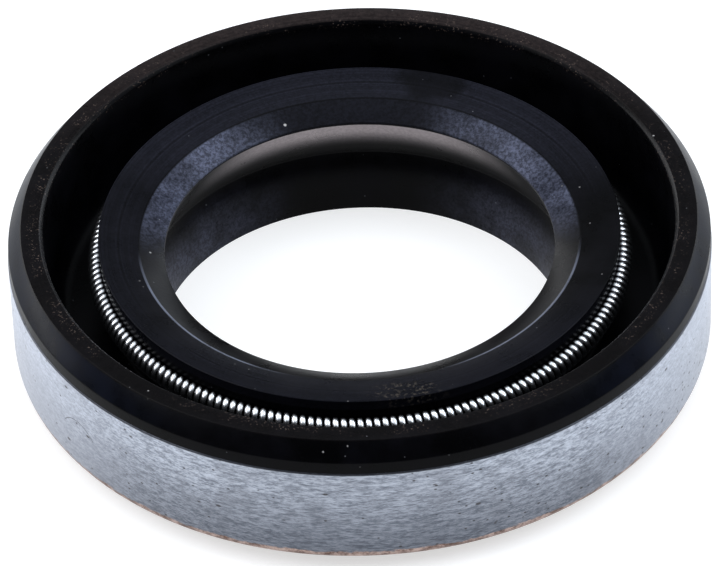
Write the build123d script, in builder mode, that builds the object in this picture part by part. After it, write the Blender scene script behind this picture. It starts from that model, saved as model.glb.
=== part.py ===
from build123d import *
import os
from math import cos, pi, sin

os.makedirs("parts", exist_ok=True)

# Radial shaft seal, metal-cased, with a rubber nose, a sealing lip and a dust
# lip. The shaft axis is Z. The oil side, with the garter spring, faces +Z, and
# the dust lip's tip stands on z = 0. Every section is drawn as (radius, height).

# ---- Fits: the housing it is pressed into and the shaft that runs through it
housing_bore = 38.0
press_allowance = 0.15      # the ground case is this much larger than the bore
shaft_diameter = 22.0
lip_preload = 0.8           # the free sealing lip is this much smaller
dust_lip_gap = 0.2          # radial gap from the shaft to the dust lip

# ---- Widths along the axis
case_width = 8.0            # back face to nose face
dust_lip_reach = 0.75       # how far the dust lip stands out of the back face

# ---- Metal case: a pressed cup with its mouth drawn in under the nose
sheet = 0.9
bend_outside = 1.0          # outside radius where the wall turns into the flange
neck_in = 0.45              # how far the mouth is drawn in, at 45 degrees
mouth_cover = 0.6           # rubber over the end of the steel
flange_cover = 0.25         # rubber between the flexing wall and the flange's hole

# ---- Rubber nose and lining
nose_height = 1.75          # nose face down to the end of the ground steel band
nose_relief = 0.05          # the nose is this much smaller in radius than the steel
chamfer_height = 1.0        # lead-in chamfer
chamfer_depth = 0.74
rim_width = 0.99            # flat ring at the top of the nose
rim_bevel_height = 0.24     # small bevel down into the cavity
rim_bevel_depth = 0.2
wall_draft = 0.3            # the lining leans in by this much down to the floor
floor_height = 2.35         # back face to the cavity floor
floor_fillet = 1.0

# ---- Sealing head, outwards from the sealing edge
cone_width = 1.38           # from the edge to the corner where its oil-side cone ends
face_width = 2.18           # from there to the outer edge of the head
face_fillet = 0.4
head_drop = 0.97            # head's outer edge below the nose face
head_dish = 0.46            # its face falls by this much towards the shaft
lip_drop = 2.2              # sealing edge below the nose face
lip_land = 0.2              # width of the sealing edge
head_undercut = 0.06        # lean of the head's outer side

# ---- Flexing wall below the head, and the space behind the lip
air_pocket_depth = 1.3      # from the sealing edge out to the widest place behind it
air_pocket_height = 2.78    # and that place's height over the back face
flex_wall = 1.0             # thickness of the flexing wall
flex_wall_top = 0.5         # it ends this far below the shelf
foot_spread = 0.45          # how much wider the wall is where it stands on the floor
foot_fillet = 0.5
shelf_drop = 0.98           # coil centre down to the underside of the spring's shelf
shelf_lip = 0.12            # how far the shelf stops short of the coil's centre

# ---- Dust lip
dust_tip_width = 0.3
dust_tip_round = 0.1
dust_lip_base = 1.55        # how far its root on the back face lies outside its tip
dust_lip_land = 1.05        # its inner side runs along the shaft to here over the back face

# ---- Garter spring: one close-wound wire, its ends brought together
spring_inset = 0.04         # coil's centre line inside the head's outer edge
spring_drop = 2.77          # coil centre below the nose face
coil_diameter = 1.38
wire_diameter = 0.4
wire_gap = 0.015            # between turns, on the side nearest the shaft
groove_clearance = 0.03
wire_end_gap = 0.5          # share of a step left open between the two ends
steps_per_turn = 6
wire_sides = 4

# ---- Sizes that follow: the case and the nose, inwards from the housing
case_radius = (housing_bore + press_allowance) / 2
wall_inside = case_radius - sheet
mouth_radius = case_radius - neck_in
nose_radius = case_radius - nose_relief
rim_outer = nose_radius - chamfer_depth
rim_inner = rim_outer - rim_width
lining_top = rim_inner - rim_bevel_depth
lining_foot = lining_top - wall_draft

# ---- the head, the flexing wall and the dust lip, outwards from the shaft
lip_radius = (shaft_diameter - lip_preload) / 2
face_radius = lip_radius + cone_width
head_radius = face_radius + face_width
spring_radius = head_radius - spring_inset
groove_radius = coil_diameter / 2 + groove_clearance
air_pocket_radius = lip_radius + air_pocket_depth
flex_radius = air_pocket_radius + flex_wall
foot_radius = flex_radius + foot_spread
flange_radius = flex_radius + flange_cover
dust_radius = shaft_diameter / 2 + dust_lip_gap
dust_root_radius = dust_radius + dust_lip_base

# ---- the heights
back_z = dust_lip_reach
nose_z = back_z + case_width
band_z = nose_z - nose_height
mouth_z = nose_z - mouth_cover
shoulder_shift = sheet * (2**0.5 - 1)   # inner shoulder sits lower by this
flange_top_z = back_z + sheet
floor_z = back_z + floor_height
pocket_z = back_z + air_pocket_height
head_z = nose_z - head_drop
face_z = head_z - head_dish
lip_z = nose_z - lip_drop
spring_z = nose_z - spring_drop
shelf_z = spring_z - shelf_drop
flex_top_z = shelf_z - flex_wall_top

# ---- and the floor's fillets, which never take more than its width
floor_width = lining_foot - foot_radius
floor_round = min(floor_fillet, floor_width / 3)
foot_round = min(foot_fillet, floor_width / 3)


# ---- Metal case --------------------------------------------------------------
with BuildPart() as metal_case:
    with BuildSketch(Plane.XZ) as case_section:
        with BuildLine():
            Polyline(
                (flange_radius, back_z),
                (case_radius, back_z),
                (case_radius, band_z),
                (mouth_radius, band_z + neck_in),
                (mouth_radius, mouth_z),
                (mouth_radius - sheet, mouth_z),
                (mouth_radius - sheet, band_z + neck_in - shoulder_shift),
                (wall_inside, band_z - shoulder_shift),
                (wall_inside, flange_top_z),
                (flange_radius, flange_top_z),
                close=True,
            )
        make_face()
        outer_bend = case_section.vertices().sort_by_distance((case_radius, back_z))[0]
        fillet(outer_bend, bend_outside)
    revolve(axis=Axis.Z)
metal_case.part.label = "metal_case"


# ---- Sealing element: nose, lining, floor, head, lip and dust lip, one moulding
# Its outline runs on inside the sheet, and the case's own section is then taken
# out of it, so the rubber lies on the steel all the way round.
with BuildPart() as sealing_element:
    with BuildSketch(Plane.XZ) as rubber_section:
        with BuildLine():
            Polyline(
                (nose_radius, band_z - sheet / 2),
                (nose_radius, nose_z - chamfer_height),
                (rim_outer, nose_z),
                (rim_inner, nose_z),
                (lining_top, nose_z - rim_bevel_height),
                (lining_foot, floor_z),
                (foot_radius, floor_z),
                (flex_radius, flex_top_z),
                (spring_radius - shelf_lip, shelf_z),
                (spring_radius - shelf_lip, spring_z),
                (head_radius - head_undercut, spring_z),
                (head_radius, head_z),
                (face_radius, face_z),
                (lip_radius, lip_z + lip_land / 2),
                (lip_radius, lip_z - lip_land / 2),
                (air_pocket_radius, pocket_z),
                (dust_radius, back_z + dust_lip_land),
                (dust_radius, 0),
                (dust_radius + dust_tip_width, 0),
                (dust_root_radius, back_z),
                (flange_radius, back_z),
                (flange_radius + sheet / 2, back_z + sheet / 2),
                (wall_inside + sheet / 4, flange_top_z - sheet / 4),
                close=True,
            )
        make_face()
        for corner, radius in [
            ((lining_foot, floor_z), floor_round),
            ((foot_radius, floor_z), foot_round),
            ((face_radius, face_z), face_fillet),
            ((dust_radius + dust_tip_width, 0), dust_tip_round),
        ]:
            fillet(rubber_section.vertices().sort_by_distance(corner)[0], radius)
        with Locations((spring_radius, spring_z)):
            Circle(groove_radius, mode=Mode.SUBTRACT)
        add(case_section.sketch_local, mode=Mode.SUBTRACT)
    revolve(axis=Axis.Z)
sealing_element.part.label = "sealing_element"


# ---- Garter spring -----------------------------------------------------------
# The wire is drawn in flat steps. Each turn is the same, so the turns' count
# follows from the room on the coil's inner side.
wire_radius = wire_diameter / 2
wind_radius = (coil_diameter - wire_diameter) / 2
inner_circle = 2 * pi * (spring_radius - wind_radius)
turns = int(inner_circle / (wire_diameter + wire_gap))
steps = turns * steps_per_turn


def coil_point(step, out=0.0, along=0.0):
    """A point at the wire: out from the coil's centre line, along its axis."""
    ring = 2 * pi * step / steps
    winding = 2 * pi * step / steps_per_turn
    radial = spring_radius + (wind_radius + out) * cos(winding)
    height = spring_z + (wind_radius + out) * sin(winding)
    return Vector(
        radial * cos(ring) - along * sin(ring),
        radial * sin(ring) + along * cos(ring),
        height,
    )


def wire_ring(step):
    """The corners of the wire's section at one step."""
    angles = [2 * pi * side / wire_sides for side in range(wire_sides)]
    return [coil_point(step, wire_radius * cos(a), wire_radius * sin(a)) for a in angles]


rings = [wire_ring(step) for step in range(steps)]
rings.append(wire_ring(steps - wire_end_gap))
faces = [Face(Wire.make_polygon(rings[0])), Face(Wire.make_polygon(rings[-1]))]
for ring, following in zip(rings, rings[1:]):
    for side in range(wire_sides):
        after = (side + 1) % wire_sides
        a, b = ring[side], ring[after]
        c, d = following[after], following[side]
        faces.append(Face(Wire.make_polygon([a, b, c])))
        faces.append(Face(Wire.make_polygon([a, c, d])))

with BuildPart() as garter_spring:
    add(Solid(Shell(faces)))
garter_spring.part.label = "garter_spring"


for piece in (metal_case, sealing_element, garter_spring):
    export_step(piece.part, f"parts/{piece.part.label}.step")
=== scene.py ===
import bmesh
import bpy
from math import cos, pi, radians, sin, tan
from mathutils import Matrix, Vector


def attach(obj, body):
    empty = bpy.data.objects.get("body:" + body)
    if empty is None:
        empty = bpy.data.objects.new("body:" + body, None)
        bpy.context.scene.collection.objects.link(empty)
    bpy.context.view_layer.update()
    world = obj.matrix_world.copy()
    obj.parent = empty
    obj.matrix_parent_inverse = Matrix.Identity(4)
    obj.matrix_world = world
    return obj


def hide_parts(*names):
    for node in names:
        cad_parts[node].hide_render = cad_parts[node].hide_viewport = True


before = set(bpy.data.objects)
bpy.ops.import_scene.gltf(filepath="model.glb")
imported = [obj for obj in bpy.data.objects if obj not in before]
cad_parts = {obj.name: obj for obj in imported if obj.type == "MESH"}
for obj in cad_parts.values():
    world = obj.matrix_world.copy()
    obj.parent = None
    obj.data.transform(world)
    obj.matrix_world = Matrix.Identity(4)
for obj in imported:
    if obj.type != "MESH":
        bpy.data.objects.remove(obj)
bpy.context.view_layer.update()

# ---- Metal case --------------------------------------------------------------
# One pressed cup of sheet steel, ground on the outside where it grips the
# housing. The bend at the back is left as pressed, and the mouth is drawn in
# under the rubber nose.
MM = 0.001
AROUND = 448                # steps round the shaft axis

sheet = 0.9
case_radius = 19.075
back = 0.75                 # height of the back face over the dust lip's tip
nose = 8.75
band_top = 7.0              # where the ground band ends and the neck begins
neck_in = 0.45              # how far the mouth is drawn in, at 45 degrees
shoulder_drop = 0.373       # the neck's inner corners sit lower by this
mouth_radius = 18.625
mouth_top = 8.15
flange_hole = 13.15


def corner_at(mesh_edit, place):
    """The section's point nearest to a place, given as (radius, height) in mm."""
    spot = Vector((place[0] * MM, 0, place[1] * MM))
    return min(mesh_edit.verts, key=lambda v: (v.co - spot).length)


def turned(name, section, rounds):
    """A closed ring turned about the shaft axis. section is its outline, as
    (radius, height) in mm, and rounds is a list of (corner, radius, segments)."""
    bpy.ops.object.select_all(action="DESELECT")
    bpy.ops.mesh.primitive_plane_add(size=MM)
    ring = bpy.context.object
    ring.name = name
    ring.data.name = name
    bpy.ops.object.mode_set(mode="EDIT")
    bpy.ops.mesh.select_mode(type="VERT")
    bpy.ops.mesh.merge(type="CENTER")
    bpy.ops.transform.translate(value=(section[0][0] * MM, 0, section[0][1] * MM))
    for here, there in zip(section, section[1:]):
        step = ((there[0] - here[0]) * MM, 0, (there[1] - here[1]) * MM)
        bpy.ops.mesh.extrude_region_move(TRANSFORM_OT_translate={"value": step})
    bpy.ops.mesh.select_all(action="SELECT")
    bpy.ops.mesh.edge_face_add()
    for place, radius, segments in rounds:
        bpy.ops.mesh.select_all(action="DESELECT")
        mesh_edit = bmesh.from_edit_mesh(ring.data)
        corner = corner_at(mesh_edit, place)
        arms = [(e.other_vert(corner).co - corner.co).normalized() for e in corner.link_edges]
        half_angle = arms[0].angle(arms[1]) / 2
        corner.select = True
        bmesh.update_edit_mesh(ring.data)
        bpy.ops.mesh.bevel(
            affect="VERTICES",
            offset_type="OFFSET",
            offset=radius * MM / tan(half_angle),
            segments=segments,
            profile=0.5,
        )
    bpy.ops.mesh.select_all(action="SELECT")
    bpy.ops.mesh.delete(type="ONLY_FACE")
    bpy.ops.mesh.select_all(action="SELECT")
    bpy.ops.mesh.spin(steps=AROUND, angle=2 * pi, center=(0, 0, 0), axis=(0, 0, 1))
    bpy.ops.mesh.select_all(action="SELECT")
    bpy.ops.mesh.remove_doubles(threshold=0.002 * MM)
    bpy.ops.mesh.normals_make_consistent(inside=False)
    bpy.ops.object.mode_set(mode="OBJECT")
    bpy.ops.object.shade_smooth_by_angle(angle=radians(25))
    return ring


case_section = [
    (flange_hole, back),
    (case_radius, back),
    (case_radius, band_top),
    (mouth_radius, band_top + neck_in),
    (mouth_radius, mouth_top),
    (mouth_radius - sheet, mouth_top),
    (mouth_radius - sheet, band_top + neck_in - shoulder_drop),
    (case_radius - sheet, band_top - shoulder_drop),
    (case_radius - sheet, back + sheet),
    (flange_hole, back + sheet),
]
case_rounds = [
    ((case_radius, back), 1.0, 10),
    ((case_radius, band_top), 0.05, 3),
]
metal_case = turned("metal_case_ground", case_section, case_rounds)


def join(tree, node, feeds):
    """Links or sets each socket of a node that feeds names."""
    for socket, value in feeds.items():
        if isinstance(value, bpy.types.NodeSocket):
            tree.links.new(value, node.inputs[socket])
        else:
            node.inputs[socket].default_value = value


def shader(tree, kind, feeds, **settings):
    """Adds one shader node, sets it up and joins what feeds it."""
    node = tree.nodes.new("ShaderNode" + kind)
    for name, value in settings.items():
        setattr(node, name, value)
    join(tree, node, feeds)
    return node


def new_finish(name):
    """A new material with its tree, its shader and the object coordinates."""
    finish = bpy.data.materials.new(name)
    finish.use_nodes = True
    tree = finish.node_tree
    surface = tree.nodes["Principled BSDF"]
    place = shader(tree, "TexCoord", {}).outputs["Object"]
    return finish, tree, surface, place


def split(tree, place):
    """A place's three sizes: across to the right, along to the rear, and height."""
    parts = shader(tree, "SeparateXYZ", {"Vector": place})
    return [parts.outputs[axis] for axis in "XYZ"]


def stretched(tree, place, scale):
    """A place multiplied by a scale for each axis."""
    return shader(tree, "Mapping", {"Vector": place, "Scale": scale}).outputs["Vector"]


def distance(tree, place, spot):
    """How far a place is from a spot given in mm."""
    spot = [size * MM for size in spot]
    node = shader(tree, "VectorMath", {0: place, 1: spot}, operation="DISTANCE")
    return node.outputs["Value"]


def grain(tree, place, scale, detail=2.0, roughness=0.5):
    """Noise of so many features to the metre."""
    feeds = {"Vector": place, "Scale": scale, "Detail": detail, "Roughness": roughness}
    return shader(tree, "TexNoise", feeds).outputs["Fac"]


def between(tree, value, low, high, to_low=0.0, to_high=1.0):
    """Value taken from low..high to to_low..to_high with a soft start and end."""
    feeds = {"Value": value, "From Min": low, "From Max": high, "To Min": to_low, "To Max": to_high}
    node = shader(tree, "MapRange", feeds, interpolation_type="SMOOTHSTEP")
    return node.outputs["Result"]


def between_mm(tree, value, low, high, to_low=0.0, to_high=1.0):
    """The same for a place or a distance, with low and high in mm."""
    return between(tree, value, low * MM, high * MM, to_low, to_high)


def maths(tree, operation, a, b=0.0):
    """One step of arithmetic."""
    return shader(tree, "Math", {0: a, 1: b}, operation=operation).outputs["Value"]


def times(tree, *values):
    """All the values multiplied. For masks, it is where all of them are 1."""
    result = values[0]
    for value in values[1:]:
        result = maths(tree, "MULTIPLY", result, value)
    return result


def mixed(tree, amount, a, b):
    """Colour a changed to colour b by amount."""
    node = tree.nodes.new("ShaderNodeMix")
    node.data_type = "RGBA"
    for socket, value in (("Factor_Float", amount), ("A_Color", a), ("B_Color", b)):
        entry = next(s for s in node.inputs if s.identifier == socket)
        if isinstance(value, bpy.types.NodeSocket):
            tree.links.new(value, entry)
        else:
            entry.default_value = value
    return next(s for s in node.outputs if s.identifier == "Result_Color")


def speckle(tree, place, scale, size, share):
    """Dots of 1 on 0: size is their radius in cells, share how many cells have one."""
    cells = shader(tree, "TexVoronoi", {"Vector": place, "Scale": scale})
    dot = between(tree, cells.outputs["Distance"], size, size * 0.5)
    parts = shader(tree, "SeparateColor", {"Color": cells.outputs["Color"]})
    chosen = maths(tree, "LESS_THAN", parts.outputs["Red"], share)
    return times(tree, dot, chosen)


def bumped(tree, relief, strength, depth):
    """The surface's direction under a fine relief, depth in mm."""
    feeds = {"Height": relief, "Strength": strength, "Distance": depth * MM}
    return shader(tree, "Bump", feeds).outputs["Normal"]


steel, tree, surface, place = new_finish("ground_case_steel")
across, along, height = split(tree, place)
aside = maths(tree, "ABSOLUTE", across)

# Grinding left fine streaks over broader ones, with cloudy patches among them.
streak_dark = (0.20, 0.22, 0.26, 1)
streak_bright = (0.53, 0.57, 0.65, 1)
patch_grey = (0.20, 0.21, 0.24, 1)
fine_streaks = grain(tree, stretched(tree, place, (2600, 6000, 14000)), 1.0, 5.0, 0.75)
broad_streaks = grain(tree, stretched(tree, place, (900, 2000, 5200)), 1.0, 3.0, 0.6)
patches = grain(tree, place, 420, 5.0, 0.65)
streaks = maths(tree, "ADD", fine_streaks, times(tree, broad_streaks, 0.6))
colour = mixed(tree, between(tree, streaks, 0.62, 0.98), streak_dark, streak_bright)
colour = mixed(tree, between(tree, patches, 0.45, 0.70, 0.0, 0.40), colour, patch_grey)

# The steel is darkened towards the back face as painted shade, and in a patch at
# the front as painted shade. It is lightened at the sides as a painted highlight.
shade_grey = (0.03, 0.035, 0.05, 1)
highlight_grey = (0.47, 0.50, 0.57, 1)
back_shade = between_mm(tree, height, 1.2, 7.0, 0.60, 0.0)
colour = mixed(tree, back_shade, colour, shade_grey)
# Painted highlight: the steel is lightened at both sides.
side_highlight = between_mm(tree, aside, 10.0, 18.5, 0.0, 0.55)
colour = mixed(tree, side_highlight, colour, highlight_grey)
# Painted shade: a darker patch at the front of the steel.
front_shade = between_mm(tree, along, -19.0, -16.8, 0.17, 0.0)
colour = mixed(tree, front_shade, colour, shade_grey)

# Small dark pits are scattered over it, close together in a few places, most of
# them at the sides.
pit_black = (0.05, 0.045, 0.045, 1)
crowded = between(tree, grain(tree, place, 150), 0.48, 0.66, 0.10, 0.60)
crowded = times(tree, crowded, between_mm(tree, aside, 3.0, 13.0, 0.30, 1.0))
small_pits = speckle(tree, stretched(tree, place, (1, 1, 1.5)), 2600, 0.29, crowded)
large_pits = speckle(tree, stretched(tree, place, (0.8, 0.8, 1.5)), 1100, 0.18, 0.11)
pits = maths(tree, "MAXIMUM", small_pits, large_pits)
colour = mixed(tree, times(tree, pits, 0.85), colour, pit_black)

# One hair-fine scratch is the upper part of a small circle on the wall.
scratch_black = (0.05, 0.05, 0.055, 1)
scratch_middle = (-15.28, -11.42, 3.05)
scratch_radius = 1.57
off_scratch = maths(tree, "SUBTRACT", distance(tree, place, scratch_middle), scratch_radius * MM)
scratch = between_mm(tree, maths(tree, "ABSOLUTE", off_scratch), 0.01, 0.05, 0.7, 0.0)
scratch = times(tree, scratch, between_mm(tree, height, 3.96, 4.04))
colour = mixed(tree, scratch, colour, scratch_black)

# A thin smear of rubber from the mould darkens the band's upper edge.
smear_black = (0.015, 0.015, 0.02, 1)
moulded_over = between_mm(tree, height, band_top - 0.09, band_top - 0.03, 0.0, 0.88)
colour = mixed(tree, moulded_over, colour, smear_black)

# Below the ground band the sheet keeps its brown, as-pressed skin, which is
# thicker, more even and greyer on the flat back.
skin_dark = (0.11, 0.06, 0.045, 1)
skin_pale = (0.48, 0.36, 0.32, 1)
skin_back = (0.150, 0.125, 0.118, 1)
ragged = grain(tree, stretched(tree, place, (900, 900, 2200)), 1.0, 5.0, 0.75)
skin_top = maths(tree, "ADD", times(tree, ragged, 0.8 * MM), 1.18 * MM)
unground = between_mm(tree, maths(tree, "SUBTRACT", skin_top, height), -0.04, 0.08)
blotches = between(tree, grain(tree, place, 1500, 4.0, 0.8), 0.35, 0.65)
skin = mixed(tree, blotches, skin_dark, skin_pale)
flat_back = between_mm(tree, height, back + 0.02, back + 0.17, 0.82, 0.0)
skin = mixed(tree, flat_back, skin, skin_back)
colour = mixed(tree, unground, colour, skin)

relief = maths(tree, "SUBTRACT", streaks, times(tree, pits, 1.5))
round_axis = shader(tree, "Tangent", {}, direction_type="RADIAL", axis="Z").outputs["Tangent"]
join(tree, surface, {
    "Base Color": colour,
    "Metallic": 1.0,
    "Roughness": between(tree, streaks, 0.5, 1.2, 0.42, 0.30),
    "Anisotropic": 0.7,
    "Anisotropic Rotation": 0.25,
    "Tangent": round_axis,
    "Normal": bumped(tree, relief, 0.25, 0.02),
})
metal_case.data.materials.append(steel)
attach(metal_case, "root")
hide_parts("metal_case")

# ---- Sealing element ---------------------------------------------------------
# One black nitrile rubber moulding, bonded to the case: nose with its lead-in
# chamfer, lining, floor, flexing wall, head with the spring's groove, sealing
# edge and dust lip.
nose_radius = 19.025
nose_overlap = 0.2          # how far the nose reaches down past the band's top
chamfer_foot = 7.75
rim_outer = 18.285
rim_inner = 17.295
bevel_radius = 17.095
bevel_foot = 8.51
lining_foot = 16.795
floor = 3.1
foot_radius = 13.35
neck_radius = 12.9
neck_height = 4.5
shelf_radius = 14.0
shelf = 5.0
head_radius = 14.16
head_top = 7.78
face_radius = 11.98
face_height = 7.32
lip_radius = 10.6
lip_top = 6.65
lip_foot = 6.45
pocket_radius = 11.9
pocket_height = 3.53
dust_land = 1.8
dust_radius = 11.2
dust_tip = 0.3
dust_root = 12.75
spring_radius = 14.12
spring_height = 5.98
groove_radius = 0.72

# The groove runs from the shelf's end round the coil's inner side to the head.
groove_start = pi + pi / 2 - 0.166
groove_end = pi / 2 + 0.028
groove_points = 14
groove = []
for step in range(groove_points + 1):
    angle = groove_start + (groove_end - groove_start) * step / groove_points
    out = spring_radius + groove_radius * cos(angle)
    up = spring_height + groove_radius * sin(angle)
    groove.append((out, up))

rubber_section = [
    (nose_radius, band_top - nose_overlap),
    (nose_radius, chamfer_foot),
    (rim_outer, nose),
    (rim_inner, nose),
    (bevel_radius, bevel_foot),
    (lining_foot, floor),
    (foot_radius, floor),
    (neck_radius, neck_height),
    (shelf_radius, shelf),
    *groove,
    (head_radius, head_top),
    (face_radius, face_height),
    (lip_radius, lip_top),
    (lip_radius, lip_foot),
    (pocket_radius, pocket_height),
    (dust_radius, dust_land),
    (dust_radius, 0.0),
    (dust_radius + dust_tip, 0.0),
    (dust_root, back),
    (flange_hole, back),
    (flange_hole, back + sheet),
    (case_radius - sheet, back + sheet),
    (case_radius - sheet, band_top - shoulder_drop),
    (mouth_radius - sheet, band_top + neck_in - shoulder_drop),
    (mouth_radius - sheet, mouth_top),
    (mouth_radius, mouth_top),
    (mouth_radius, band_top + nose_overlap),
]
rubber_rounds = [
    ((nose_radius, chamfer_foot), 0.15, 3),
    ((rim_outer, nose), 0.06, 3),
    ((rim_inner, nose), 0.06, 3),
    ((bevel_radius, bevel_foot), 0.2, 3),
    ((lining_foot, floor), 1.0, 8),
    ((foot_radius, floor), 0.5, 6),
    ((neck_radius, neck_height), 0.3, 4),
    ((head_radius, head_top), 0.08, 3),
    ((face_radius, face_height), 0.4, 6),
    ((lip_radius, lip_top), 0.04, 2),
    ((lip_radius, lip_foot), 0.04, 2),
    ((pocket_radius, pocket_height), 0.12, 3),
    ((dust_radius, dust_land), 6.5, 8),
    ((dust_radius + dust_tip, 0.0), 0.1, 3),
]
rubber_ring = turned("sealing_element_moulding", rubber_section, rubber_rounds)


def length(tree, x, y):
    """The length of the flat vector (x, y)."""
    flat = shader(tree, "CombineXYZ", {"X": x, "Y": y}).outputs["Vector"]
    return shader(tree, "VectorMath", {0: flat}, operation="LENGTH").outputs["Value"]


def band(tree, value, low, high, soft):
    """1 where value lies between two sizes in mm, with soft ends."""
    rise = between_mm(tree, value, low - soft, low)
    fall = between_mm(tree, value, high, high + soft, 1.0, 0.0)
    return times(tree, rise, fall)


rubber, tree, surface, place = new_finish("nitrile_rubber")
across, along, height = split(tree, place)
radius = length(tree, across, along)
sideways = maths(tree, "DIVIDE", maths(tree, "ABSOLUTE", across), radius)
to_rear = between_mm(tree, along, 1.0, 9.0)
to_front = between_mm(tree, along, -10.0, -4.0, 1.0, 0.0)

fine = grain(tree, place, 5200, 3.0, 0.6)
mottle = grain(tree, place, 5200, 4.0, 0.75)
cloudy = grain(tree, place, 420, 4.0, 0.6)
patchy = between(tree, cloudy, 0.35, 0.62, 0.45, 1.0)
rings = grain(tree, shader(tree, "CombineXYZ", {"X": radius}).outputs["Vector"], 7000, 3.0, 0.7)
new_black = (0.0008, 0.0008, 0.0011, 1)
worn_black = (0.0020, 0.0020, 0.0030, 1)
colour = mixed(tree, between(tree, cloudy, 0.35, 0.7), new_black, worn_black)

# The head's face has a thin grey bloom with the mould's turning marks in it,
# rubbed off in one place.
face_grey = (0.0135, 0.0140, 0.0215, 1)
rubbed_spot = (4.2, 12.8, 7.7)
on_face = times(
    tree,
    band(tree, radius, 12.05, 14.3, 0.12),
    band(tree, height, 7.2, 7.9, 0.1),
)
to_spot = maths(tree, "ADD", distance(tree, place, rubbed_spot), times(tree, cloudy, 4.0 * MM))
at_left = between_mm(tree, across, -13.0, -9.0, 0.45, 0.0)
face_bloom = maths(tree, "MAXIMUM", to_rear, times(tree, to_front, 0.5))
face_bloom = times(
    tree,
    on_face,
    maths(tree, "MAXIMUM", face_bloom, at_left),
    between_mm(tree, to_spot, 3.0, 4.2, 0.25, 1.0),
    between(tree, rings, 0.38, 0.62, 0.35, 1.0),
    between(tree, mottle, 0.35, 0.65, 0.55, 1.0),
)
colour = mixed(tree, face_bloom, colour, face_grey)

# The oil-side cone's mottled bloom is lightened as painted sheen: faintly at the
# rear, and more strongly in patches at both sides.
cone_sheen_faint = (0.0075, 0.0078, 0.0120, 1)
cone_sheen_grey = (0.105, 0.115, 0.170, 1)
on_cone = times(
    tree,
    band(tree, radius, 10.4, 11.85, 0.12),
    band(tree, height, 6.6, 7.5, 0.1),
)
rear_cone_sheen = times(tree, on_cone, to_rear, between(tree, mottle, 0.38, 0.62, 0.35, 1.0))
colour = mixed(tree, rear_cone_sheen, colour, cone_sheen_faint)
side_cone_sheen = times(
    tree,
    on_cone,
    between_mm(tree, along, -1.5, 5.0),
    between(tree, sideways, 0.30, 0.72),
    patchy,
    between(tree, mottle, 0.38, 0.64, 0.30, 1.0),
)
colour = mixed(tree, side_cone_sheen, colour, cone_sheen_grey)

# A painted highlight: a thin pale line on the corner between face and cone.
corner_highlight_grey = (0.105, 0.115, 0.150, 1)
corner_highlight = times(
    tree,
    band(tree, radius, 11.94, 12.02, 0.05),
    band(tree, height, 7.2, 7.5, 0.1),
    between_mm(tree, along, -0.5, -4.5),
    between(tree, sideways, 0.30, 0.62),
    between(tree, cloudy, 0.3, 0.6, 0.5, 1.0),
)
colour = mixed(tree, corner_highlight, colour, corner_highlight_grey)

# Under the sealing edge at the rear, a pale metallic patch is a painted reflection.
reflection_dark = (0.215, 0.190, 0.198, 1)
reflection_pale = (0.275, 0.243, 0.252, 1)
under_edge_reflection = times(
    tree,
    band(tree, radius, 10.3, 11.7, 0.2),
    between_mm(tree, height, 4.2, 6.0),
    band(tree, height, 3.5, 6.46, 0.03),
    between_mm(tree, along, 6.2, 10.0),
)
rear_reflection = mixed(tree, between(tree, mottle, 0.35, 0.65), reflection_dark, reflection_pale)
colour = mixed(tree, under_edge_reflection, colour, rear_reflection)

# The dust lip's inner side has mottled dust, lightened towards both sides as
# painted light.
dust_lip_light_grey = (0.060, 0.063, 0.090, 1)
dust_lip_painted_light = times(
    tree,
    band(tree, radius, 10.8, 12.0, 0.1),
    between_mm(tree, height, 1.2, 3.6, 1.0, 0.0),
    between(tree, sideways, 0.25, 0.8),
    between(tree, mottle, 0.38, 0.62, 0.4, 1.0),
    patchy,
)
colour = mixed(tree, dust_lip_painted_light, colour, dust_lip_light_grey)

# A faint blue painted sheen lies on the lead-in chamfer towards both sides.
chamfer_sheen_blue = (0.0020, 0.0034, 0.0090, 1)
chamfer_sheen = times(
    tree,
    band(tree, radius, 18.36, 19.1, 0.05),
    band(tree, height, 7.8, 8.64, 0.05),
    between(tree, sideways, 0.45, 0.85),
    patchy,
)
colour = mixed(tree, chamfer_sheen, colour, chamfer_sheen_blue)

# The flat rim is tinted brown, most towards the rear, with crumbs along its edge.
rim_brown = (0.027, 0.020, 0.019, 1)
crumb_brown = (0.115, 0.085, 0.070, 1)
rim_tint = times(
    tree,
    band(tree, height, 8.70, 9.0, 0.03),
    band(tree, radius, 17.25, 18.4, 0.1),
    between_mm(tree, along, 5.0, 18.0, 0.10, 1.0),
    between(tree, mottle, 0.35, 0.65, 0.45, 1.0),
    between(tree, rings, 0.35, 0.6, 0.6, 1.0),
)
colour = mixed(tree, rim_tint, colour, rim_brown)
crumbs = times(
    tree,
    between(tree, grain(tree, place, 8500, 2.0, 0.6), 0.61, 0.70),
    band(tree, height, 8.35, 9.0, 0.1),
    band(tree, radius, 17.0, 17.7, 0.45),
    between(tree, cloudy, 0.42, 0.56),
    0.8,
)
colour = mixed(tree, crumbs, colour, crumb_brown)

# A patch of dust is smeared on the front of the head's face. It is wider across
# than along, so it is a round spot in a space squeezed across and drawn out along.
smear_brown = (0.095, 0.080, 0.064, 1)
squeeze = (0.6, 1.2, 1.0)
smear_spot = (1.35, -15.96, 7.6)
to_smear = distance(tree, stretched(tree, place, squeeze), smear_spot)
smear = times(
    tree,
    between_mm(tree, to_smear, 0.7, 1.5, 1.0, 0.0),
    on_face,
    between(tree, grain(tree, place, 4200, 3.0, 0.6), 0.52, 0.66),
    0.42,
)
colour = mixed(tree, smear, colour, smear_brown)

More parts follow.
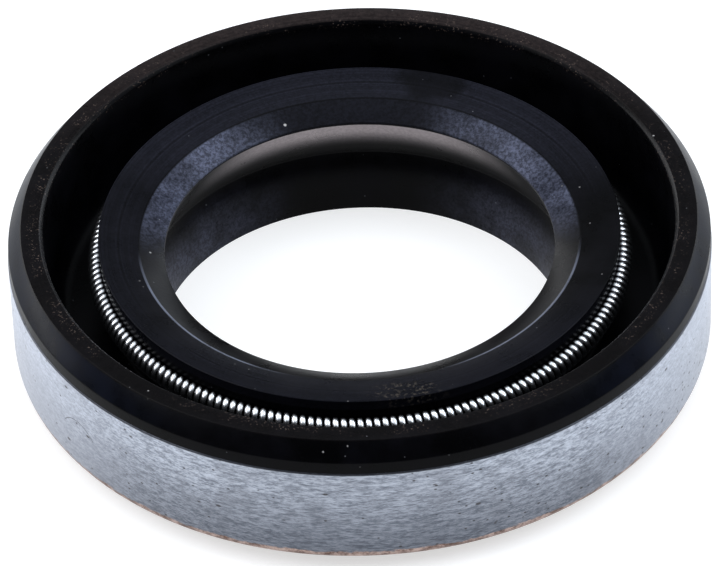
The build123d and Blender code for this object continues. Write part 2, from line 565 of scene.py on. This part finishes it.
# Fine dust lies all over it, and larger grains here and there. Each grain is at
# (x, y, z) in mm, with its radius and how pale it is.
dust_grey = (0.45, 0.45, 0.48, 1)
grain_white = (0.52, 0.50, 0.49, 1)
grain_fade = 0.06           # from the grain's middle to clean rubber, past its radius
dust = times(
    tree,
    speckle(tree, place, 2600, 0.13, 0.03),
    between(tree, fine, 0.4, 0.6, 0.3, 1.0),
    0.25,
)
colour = mixed(tree, dust, colour, dust_grey)
grains = [
    ((-3.9, 10.33, 6.86), 0.09, 0.90),
    ((-11.35, -0.48, 7.02), 0.06, 0.50),
    ((-10.86, 2.42, 6.91), 0.04, 0.35),
    ((11.17, 3.68, 7.22), 0.04, 0.35),
    ((-11.89, -3.27, 7.39), 0.06, 0.22),
    ((-11.69, -3.76, 7.38), 0.05, 0.15),
    ((-6.09, -10.86, 7.42), 0.04, 0.30),
    ((-6.81, -10.4, 7.42), 0.04, 0.25),
    ((12.11, 3.26, 7.44), 0.05, 0.40),
    ((12.52, 0.16, 7.43), 0.04, 0.35),
    ((12.92, -4.44, 7.68), 0.04, 0.35),
    ((-0.91, -14.09, 7.77), 0.05, 0.30),
    ((-11.4, -14.47, 8.75), 0.10, 0.70),
    ((-11.66, -14.27, 8.75), 0.06, 0.50),
    ((-11.32, -13.82, 8.75), 0.05, 0.50),
    ((16.31, 5.87, 8.75), 0.06, 0.50),
    ((-1.0, -18.44, 8.5), 0.05, 0.45),
    ((-2.28, -18.53, 8.23), 0.05, 0.60),
    ((-0.4, -19.02, 7.53), 0.04, 0.25),
]
uneven = times(tree, fine, 0.08 * MM)
for spot, size, paleness in grains:
    away = maths(tree, "ADD", distance(tree, place, spot), uneven)
    dot = between_mm(tree, away, size, size + grain_fade, paleness, 0.0)
    colour = mixed(tree, dot, colour, grain_white)

join(tree, surface, {
    "Base Color": colour,
    # The metallic patch under the sealing edge is the painted reflection.
    "Metallic": under_edge_reflection,
    "Roughness": between(tree, cloudy, 0.3, 0.75, 0.26, 0.34),
    "IOR": 1.3,
    "Specular IOR Level": 0.12,
    "Normal": bumped(tree, fine, 0.15, 0.03),
})
rubber_ring.data.materials.append(rubber)
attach(rubber_ring, "root")
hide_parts("sealing_element")

# ---- Garter spring -----------------------------------------------------------
# Bright steel wire, close-wound straight, then bent into a ring with its ends
# joined, and sprung into the head's groove.
wire = 0.4
coil = 1.38
turns = 206
wire_sides = 10
steps_per_turn = 24
wind_radius = (coil - wire) / 2
ring_length = 2 * pi * spring_radius
pitch = (ring_length - wire) / turns
end_gap = 0.02              # left open between the wire's two ends

bpy.ops.object.select_all(action="DESELECT")
bpy.ops.mesh.primitive_circle_add(
    vertices=wire_sides,
    radius=wire / 2 * MM,
    location=(0, wind_radius * MM, 0),
)
spring = bpy.context.object
spring.name = "garter_spring_wire"
spring.data.name = "garter_spring_wire"
bpy.ops.object.transform_apply(location=True, rotation=True, scale=True)
winding = spring.modifiers.new("winding", "SCREW")
winding.axis = "X"
winding.angle = 2 * pi
winding.screw_offset = pitch * MM
winding.iterations = turns
winding.steps = steps_per_turn
winding.render_steps = steps_per_turn
winding.use_normal_calculate = True
winding.use_merge_vertices = False
bpy.ops.object.modifier_apply(modifier="winding")
bpy.ops.object.mode_set(mode="EDIT")
bpy.ops.mesh.select_all(action="SELECT")
bpy.ops.transform.translate(value=(-pitch * turns / 2 * MM, 0, 0))
bpy.ops.mesh.fill_holes(sides=wire_sides)
bpy.ops.object.mode_set(mode="OBJECT")
bend = spring.modifiers.new("bend", "SIMPLE_DEFORM")
bend.deform_method = "BEND"
bend.deform_axis = "Z"
bend.angle = 2 * pi * (1 - end_gap / ring_length)
bpy.ops.object.modifier_apply(modifier="bend")
bpy.ops.object.mode_set(mode="EDIT")
bpy.ops.mesh.select_all(action="SELECT")
bpy.ops.transform.translate(value=(0, -spring_radius * MM, spring_height * MM))
bpy.ops.mesh.normals_make_consistent(inside=False)
bpy.ops.object.mode_set(mode="OBJECT")
bpy.ops.object.shade_smooth_by_angle(angle=radians(60))

bright, tree, surface, place = new_finish("bright_spring_wire")
drawn_dark = (0.66, 0.67, 0.69, 1)
drawn_bright = (0.80, 0.81, 0.83, 1)
shade_black = (0.035, 0.035, 0.04, 1)
drawn = grain(tree, place, 3000, 3.0, 0.6)
colour = mixed(tree, between(tree, drawn, 0.3, 0.7), drawn_dark, drawn_bright)
# Painted shade darkens the wire between its turns and where it lies in the groove.
across, along, height = split(tree, place)
outwards = maths(tree, "SUBTRACT", length(tree, across, along), spring_radius * MM)
upwards = maths(tree, "SUBTRACT", height, spring_height * MM)
crest = between_mm(tree, length(tree, outwards, upwards), 0.55, 0.665)
exposed = between_mm(tree, outwards, 0.02, 0.22)
colour = mixed(tree, times(tree, crest, exposed), shade_black, colour)
join(tree, surface, {
    "Base Color": colour,
    "Metallic": 1.0,
    "Roughness": 0.24,
    "Specular Tint": (0.35, 0.35, 0.37, 1),
})
spring.data.materials.append(bright)
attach(spring, "root")
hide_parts("garter_spring")

# ---- Floor, light and camera -------------------------------------------------
# A plain white table whose rim turns up, under soft panels: overhead, high at
# the front, the rear and both sides, and low round the rear.
table_radius = 1.2
table_rim = 0.35
bpy.ops.object.select_all(action="DESELECT")
bpy.ops.mesh.primitive_circle_add(vertices=96, radius=table_radius, fill_type="NGON")
table = bpy.context.object
bpy.ops.object.mode_set(mode="EDIT")
bpy.ops.mesh.select_mode(type="EDGE")
bpy.ops.mesh.select_all(action="SELECT")
bpy.ops.mesh.region_to_loop()
bpy.ops.mesh.extrude_edges_move(TRANSFORM_OT_translate={"value": (0, 0, table_rim)})
bpy.ops.object.mode_set(mode="OBJECT")
table.name = "table"

# It glows to what looks at it, brightest round the seal, and lights nothing.
white, tree, surface, place = new_finish("white_table")
seen = shader(tree, "LightPath", {})
looked_at = maths(tree, "MAXIMUM", seen.outputs["Is Camera Ray"], seen.outputs["Is Glossy Ray"])
looked_at = maths(tree, "MAXIMUM", looked_at, seen.outputs["Is Transmission Ray"])
from_middle = shader(tree, "VectorMath", {0: place}, operation="LENGTH").outputs["Value"]
glow = between(tree, from_middle, 0.06, 0.18, 0.6, 0.12)
join(tree, surface, {
    "Base Color": (0.55, 0.55, 0.55, 1),
    "Roughness": 0.9,
    "Emission Color": (1, 1, 1, 1),
    "Emission Strength": times(tree, looked_at, glow),
})
table.data.materials.append(white)

sky = bpy.data.worlds.new("studio")
sky.use_nodes = True
join(sky.node_tree, sky.node_tree.nodes["Background"], {
    "Color": (0.85, 0.9, 1.0, 1),
    "Strength": 0.04,
})
bpy.context.scene.world = sky


def panel(name, place, width, height, power, colour):
    """A soft rectangular lamp that faces the seal."""
    bpy.ops.object.light_add(type="AREA", location=place)
    lamp = bpy.context.object
    lamp.name = name
    lamp.data.shape = "RECTANGLE"
    lamp.data.size = width
    lamp.data.size_y = height
    lamp.data.energy = power
    lamp.data.color = colour
    towards = Vector((0, 0, 0)) - Vector(place)
    lamp.rotation_euler = towards.to_track_quat("-Z", "Y").to_euler()


cool = (0.87, 0.93, 1.0)
neutral = (0.96, 0.97, 1.0)
panel("overhead_panel", (0, 0.05, 0.6), 0.9, 0.4, 1.6, cool)
panel("front_high_panel", (0, -0.28, 0.54), 1.3, 0.26, 1.5, cool)
panel("rear_high_panel", (0, 0.29, 0.54), 0.9, 0.2, 0.65, cool)
panel("rear_panel", (0, 0.62, 0.5), 1.0, 0.5, 0.6, cool)
for side, name, low_power, tint in ((-1, "left", 3.2, neutral), (1, "right", 2.6, cool)):
    panel(f"{name}_high_panel", (side * 0.45, 0, 0.45), 0.5, 0.4, 2.0, tint)
    panel(f"{name}_low_panel", (side * 0.66, 0.44, 0.12), 0.8, 0.22, low_power, tint)
    panel(f"{name}_rear_panel", (side * 0.27, 0.85, 0.19), 0.4, 0.22, 0.8, tint)

bpy.ops.object.camera_add(
    location=(0, -0.24997614, 0.21532737),
    rotation=(radians(49.75824817), radians(1.59760795), radians(-1.33887026)),
)
camera = bpy.context.object
camera.data.sensor_width = 36
camera.data.lens = 300
camera.data.clip_start = 0.01
bpy.context.scene.camera = camera
bpy.context.scene.view_settings.view_transform = "Standard"
